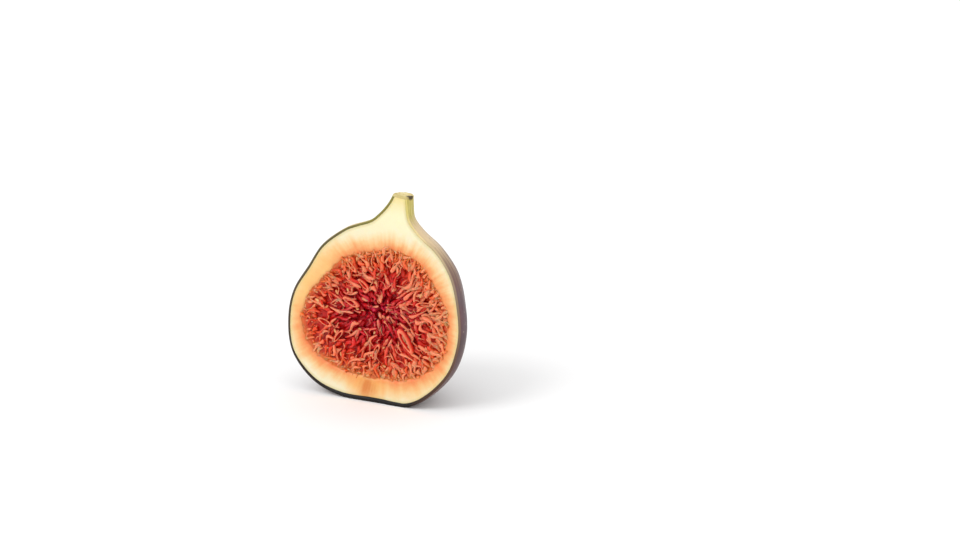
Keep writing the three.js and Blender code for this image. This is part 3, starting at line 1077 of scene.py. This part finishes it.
def combed(point):
    """Florets lean the same way as their neighbours, so the pulp looks combed in swirls."""
    broad = noise.noise(Vector((point.x, point.z, 11)) * 0.11)
    local = noise.noise(Vector((point.x, point.z, 17)) * 0.3)
    return 0.5 * broad + 0.5 * local


def within_pocket(foot, spare):
    """Whether a foot is in the pocket, which narrows behind the cut, or no more than spare past it."""
    angle, distance = polar(foot)
    narrowing = math.sqrt(max(0.05, 1 - (max(foot.y, 0) / POCKET_DEPTH) ** 2))
    return distance < pulp_edge(angle) * narrowing + spare


# %% Places on rings round the hub
rng = random.Random(29)


def places(spacing, pitch, inner, outer):
    """Places on rings round the hub: spacing is across, pitch from ring to ring."""
    reach = sum(EDGE) / len(EDGE)
    rows = int(reach * (outer - inner) / pitch)
    for row in range(rows + 1):
        share = outer - (outer - inner) * row / max(rows, 1)
        angle = rng.random() * math.tau
        end = angle + math.tau
        while angle < end:
            angle += spacing * rng.uniform(0.7, 1.3) / max(pulp_edge(angle) * share, 0.8)
            place = share + rng.uniform(-0.5, 0.5) * pitch / reach
            yield angle, min(max(place, 0.02), outer)


# %% A layer of florets
EDGE_RISE = math.radians(7)  # how far florets rise from the cut
HUB_RISE = math.radians(62)  # how much further they rise at the hub
EDGE_BAND = 0.82  # from this share of the way to the edge on, no place is cleared


def floret_layer(
    shapes, spacing, pitch, lengths, widths, depth, tones, sway,
    inner=0.05, outer=1.0, spare=0.4, flat=(0.8, 1.0), uneven=0.3, clearing=-1,
):
    """Copies (mesh, matrix, tone) for a layer. A higher clearing leaves more gaps in it."""
    copies = []
    for angle, place in places(spacing, pitch, inner, outer):
        middle = from_hub(angle, pulp_edge(angle) * place)
        if place < EDGE_BAND and noise.noise(Vector((middle.x, middle.z, 23)) * 0.3) < clearing:
            continue
        heading = angle + math.pi + combed(middle) + rng.uniform(-sway, sway)
        rise = EDGE_RISE + HUB_RISE * max(0, 1 - place / 0.5) ** 1.3 + rng.uniform(-0.14, 0.14)
        level = Vector((math.cos(heading), 0, math.sin(heading)))
        way = level * math.cos(rise) + FRONT * math.sin(rise)
        length, width = rng.uniform(*lengths), rng.uniform(*widths)
        middle.y = depth + rng.uniform(-uneven, uneven) + 0.3 * length * math.sin(rise)
        middle.y += 0.35 * max(0, place - 0.8) / 0.2
        # One whose foot is in the flesh is shortened, and left out when it gets too stout.
        for _ in range(4):
            if within_pocket(middle - way * length / 2, spare):
                break
            length *= 0.8
        if length < width * 1.1:
            continue
        width = min(width, length * 0.55)
        roll, thick = rng.uniform(-0.6, 0.6), width * rng.uniform(*flat)
        matrix = aim(middle - way * length / 2, way, roll, width, thick, length)
        # Painted light: the pulp is painted paler on the right, as if lit from there, and darker in a ring
        # a third of the way out, as painted shade.
        painted_light_shift = 0.012 * max(middle.x, -6) - 0.2 * math.exp(-(((place - 0.36) / 0.2) ** 2))
        copies.append((rng.choice(shapes), matrix, rng.uniform(*tones) + painted_light_shift))
    return copies


def finish_layer(name, shapes, slot="pulp", material=wet_pulp, **plan):
    """Lays a layer and makes it a finished piece."""
    copies = floret_layer(shapes, **plan)
    print(name, "has", len(copies), "copies")
    finish_piece(gather(copies), name, "pulp", material)


# %% Three layers
# The deeper a layer lies, the lower its tones: painted shade for depth, over each floret's own random tone.
finish_layer(
    "florets_deep", FLORETS, spacing=1.7, pitch=2.6, lengths=(3.4, 5.6), widths=(1.1, 1.6),
    depth=1.6, tones=(0.0, 0.3), sway=0.6, outer=0.92,
)
finish_layer(
    "florets_middle", FLORETS, spacing=1.7, pitch=2.5, lengths=(3.0, 5.0), widths=(0.9, 1.4),
    depth=0.95, tones=(0.1, 0.65), sway=0.5, outer=0.95, clearing=-0.3,
)
finish_layer(
    "florets_top", STRANDS + FLORETS[:4], spacing=1.5, pitch=2.7, lengths=(3.2, 6.4),
    widths=(0.55, 1.15), depth=0.2, tones=(0.45, 1.3), sway=0.5, outer=0.94, clearing=-0.14,
)

# %% [markdown]
# ## Florets that the knife opened
# Here and there the knife has split a floret along its length. It shows as a rounded lip round a
# hollow, painted pale along the lip as a highlight and dark down in the hollow as shade. The shape is
# a teardrop outline whose loops climb the outer wall, roll over the lip and go down inside.

# %% An opened floret
# The last column is painted light: a painted highlight on the lip and painted shade down in the hollow.
LIP_LOOPS = [  # size, height towards the back, shade
    (0.92, 0.5, 0.2), (1.0, 0.1, 0.6), (0.97, -0.28, 0.9), (0.86, -0.42, 1.0), (0.74, -0.34, 0.8),
    (0.66, -0.05, 0.25), (0.55, 0.3, 0.05), (0.25, 0.42, 0.0),
]


def opened_shape(pinch, sides=18):
    """A teardrop with a lip and a hollow. The more pinch, the slimmer its foot."""
    bm = bmesh.new()
    painted_shading_layer = bm.verts.layers.float.new("painted_shading")
    outline_layer = bm.verts.layers.float_vector.new("outline")
    bmesh.ops.create_circle(bm, segments=sides, radius=1)
    for vert in bm.verts:
        across, along, _ = vert.co / 2
        vert[outline_layer] = Vector((across * (1 - pinch * (0.5 - along)), 0, along))

    def on_lip(vert, size, height, painted_shading):
        vert.co = Vector((0, height, 0.5)) + vert[outline_layer] * size
        vert[painted_shading_layer] = painted_shading

    draw_through(bm, LIP_LOOPS, on_lip)
    bm.verts.layers.float_vector.remove(outline_layer)
    return bm


OPENED = [shape_mesh(opened_shape(pinch), f"opened {pinch}") for pinch in (0.25, 0.45, 0.6)]

# %% Lay the opened ones where the knife met them
OPENED_AT = [  # x and z of the foot, then of the head, and the width
    (-9.4, 29.0, -4.2, 27.0, 2.0), (12.9, 15.8, 8.4, 22.4, 2.7), (-4.9, 34.8, -1.2, 32.2, 1.6),
    (-17.2, 21.8, -12.6, 20.2, 1.7), (-9.0, 40.2, -5.4, 36.6, 1.5), (18.2, 30.6, 13.2, 29.8, 1.7),
    (0.4, 12.6, 2.6, 17.2, 1.6), (-12.0, 15.6, -9.0, 19.6, 1.5),
]
opened = []
for foot_x, foot_z, head_x, head_z, width in OPENED_AT:
    foot, head = Vector((foot_x, 0.1, foot_z)), Vector((head_x, -0.4, head_z))
    matrix = aim(foot, head - foot, rng.uniform(-0.3, 0.3), width, width * 0.8, (head - foot).length)
    opened.append((rng.choice(OPENED), matrix, rng.uniform(1.0, 1.3)))
print("Opened florets:", len(opened))
finish_piece(gather(opened), "opened_florets", "pulp", wet_pulp)

# %% [markdown]
# ## The fringe and the threads
# The pulp doesn't end at a line. Short, slim florets start in the flesh itself and cross the edge,
# and finer threads, which are the florets' styles, curl between the heads everywhere. Both are the
# floret shape again, only slimmer.

# %% Fringe
finish_layer(
    "floret_fringe", STRANDS[:4], spacing=1.5, pitch=1.5, lengths=(2.4, 4.6), widths=(0.7, 1.15),
    depth=0.2, tones=(0.3, 0.9), sway=0.3, inner=0.86, outer=0.98, spare=0.3, uneven=0.12,
)

# %% Threads
THREADS = [
    shape_mesh(floret_shape(1.1, 0.8, 0, bend, segments=5, rows=8, cap=0.1), f"thread {index}")
    for index, bend in enumerate((1.2, -1.6, 2.4, -2.8))
]
finish_layer(
    "threads", THREADS, spacing=3.0, pitch=2.8, lengths=(2.0, 3.8), widths=(0.22, 0.36),
    depth=0.1, tones=(0.8, 1.3), sway=1.1, inner=0.04, outer=0.85,
)

# %% [markdown]
# ## Seeds
# Every ripe floret holds one hard little seed, straw coloured and tinged orange by the juice. Most
# are hidden, and a few sit in the open between the heads. Each is an icosphere drawn out to a pip,
# which has faces of one size and no pole, so a few dozen of them are enough.

# %% One seed, slimmer towards its tip
TAPER = 0.5

seed = bmesh.new()
bmesh.ops.create_icosphere(seed, subdivisions=2, radius=0.5)
painted_shading_layer = seed.verts.layers.float.new("painted_shading")
for vert in seed.verts:
    slim = 1 - TAPER * max(0, vert.co.z)
    vert.co = Vector((vert.co.x * slim, vert.co.y * slim, vert.co.z + 0.5))
    vert[painted_shading_layer] = 1.0
SEEDS = [shape_mesh(seed, "seed")]

# %% Seed finish, and the seeds
husk = Finish("fig seed", Roughness=0.35, Coat_Weight=0.4, Coat_Roughness=0.1)
husk.ground = husk.ramp(husk.clouds(900), [
    (0.35, (210, 124, 66)), (0.55, (226, 158, 96)), (0.7, (236, 184, 126)),
])
finish_layer(
    "seeds", SEEDS, slot="seed", material=husk.done(husk.clouds(2600, 2), 0.4, 0.0001),
    spacing=6.0, pitch=5.4, lengths=(1.2, 1.6), widths=(0.85, 1.1), depth=0.35, tones=(0.5, 1.0),
    sway=1.5, inner=0.15, outer=0.95, flat=(0.7, 0.9),
)

# %% [markdown]
# ## Surroundings
# A plain white floor runs on past the view, under one broad soft light from the upper left and an
# even white surround, as in a light tent. A sun lamp with a wide angle gives that soft shadow from
# any distance. The half is seen a little from its right and from above.

# %% Floor
paper = Finish("white paper", Base_Color=(0.95, 0.95, 0.95, 1), Roughness=0.9, Specular_IOR_Level=0.0)
floor_bm = bmesh.new()
bmesh.ops.create_grid(floor_bm, x_segments=1, y_segments=1, size=30)
floor_mesh = bpy.data.meshes.new("floor")
floor_bm.to_mesh(floor_mesh)
floor_bm.free()
floor_mesh.materials.append(paper.material)
floor = bpy.data.objects.new("floor", floor_mesh)
bpy.context.collection.objects.link(floor)

# %% Light
world = bpy.data.worlds.new("light tent")
bpy.context.scene.world = world
world.use_nodes = True
background = world.node_tree.nodes["Background"]
background.inputs["Color"].default_value = (1, 1, 1, 1)
background.inputs["Strength"].default_value = 1.0
key = bpy.data.objects.new("key", bpy.data.lights.new("key", "SUN"))
key.data.energy = 0.86
key.data.angle = math.radians(30)
key.rotation_mode = "QUATERNION"
key.rotation_quaternion = Vector((0.42, 0.62, -0.72)).to_track_quat("-Z", "Y")
bpy.context.collection.objects.link(key)
bpy.context.scene.view_settings.view_transform = "Standard"
print("Light: a tent of strength 1 and a sun of", round(key.data.energy, 2))

# %% Camera
AIM = Vector((0.0224, 0.0146, 0.0355))
AZIMUTH, ELEVATION, DISTANCE = math.radians(25), math.radians(18), 0.747

level = Vector((math.sin(AZIMUTH), -math.cos(AZIMUTH), 0))
back = level * math.cos(ELEVATION) + Vector((0, 0, math.sin(ELEVATION)))
camera = bpy.data.objects.new("camera", bpy.data.cameras.new("camera"))
camera.data.lens, camera.data.sensor_width = 100, 36
camera.data.clip_start, camera.data.clip_end = 0.01, 100
camera.location = AIM + back * DISTANCE
camera.rotation_mode = "QUATERNION"
camera.rotation_quaternion = (-back).to_track_quat("-Z", "Y")
bpy.context.collection.objects.link(camera)
bpy.context.scene.camera = camera
print("Camera stands", round(camera.location.length * 1000), "mm away")
